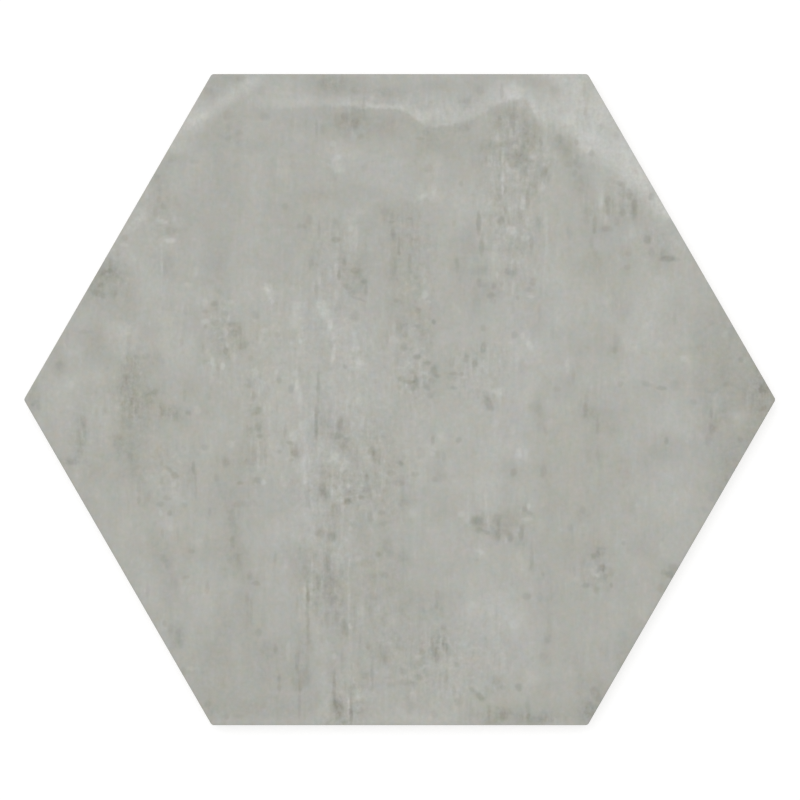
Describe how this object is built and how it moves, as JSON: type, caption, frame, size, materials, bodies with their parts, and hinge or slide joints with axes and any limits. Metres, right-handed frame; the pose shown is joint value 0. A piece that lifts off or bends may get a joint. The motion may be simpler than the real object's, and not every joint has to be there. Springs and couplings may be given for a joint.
{
  "type": "hexagon floor tile",
  "caption": "Regular hexagonal porcelain floor tile with a matt concrete-look glazed face, eased edges and a honeycomb key relief on its back.",
  "frame": {"origin": "centre of the back, on the plane the tile rests on", "axes": "+Z out of the glazed face; +X towards a corner, along the longest extent; +Y square to a side"},
  "size_m": [0.2882, 0.25, 0.009],
  "materials": {
    "concrete_glaze": "matte"
  },
  "bodies": {
    "root": {"hexagon_tile": "concrete_glaze"}
  },
  "joints": []
}
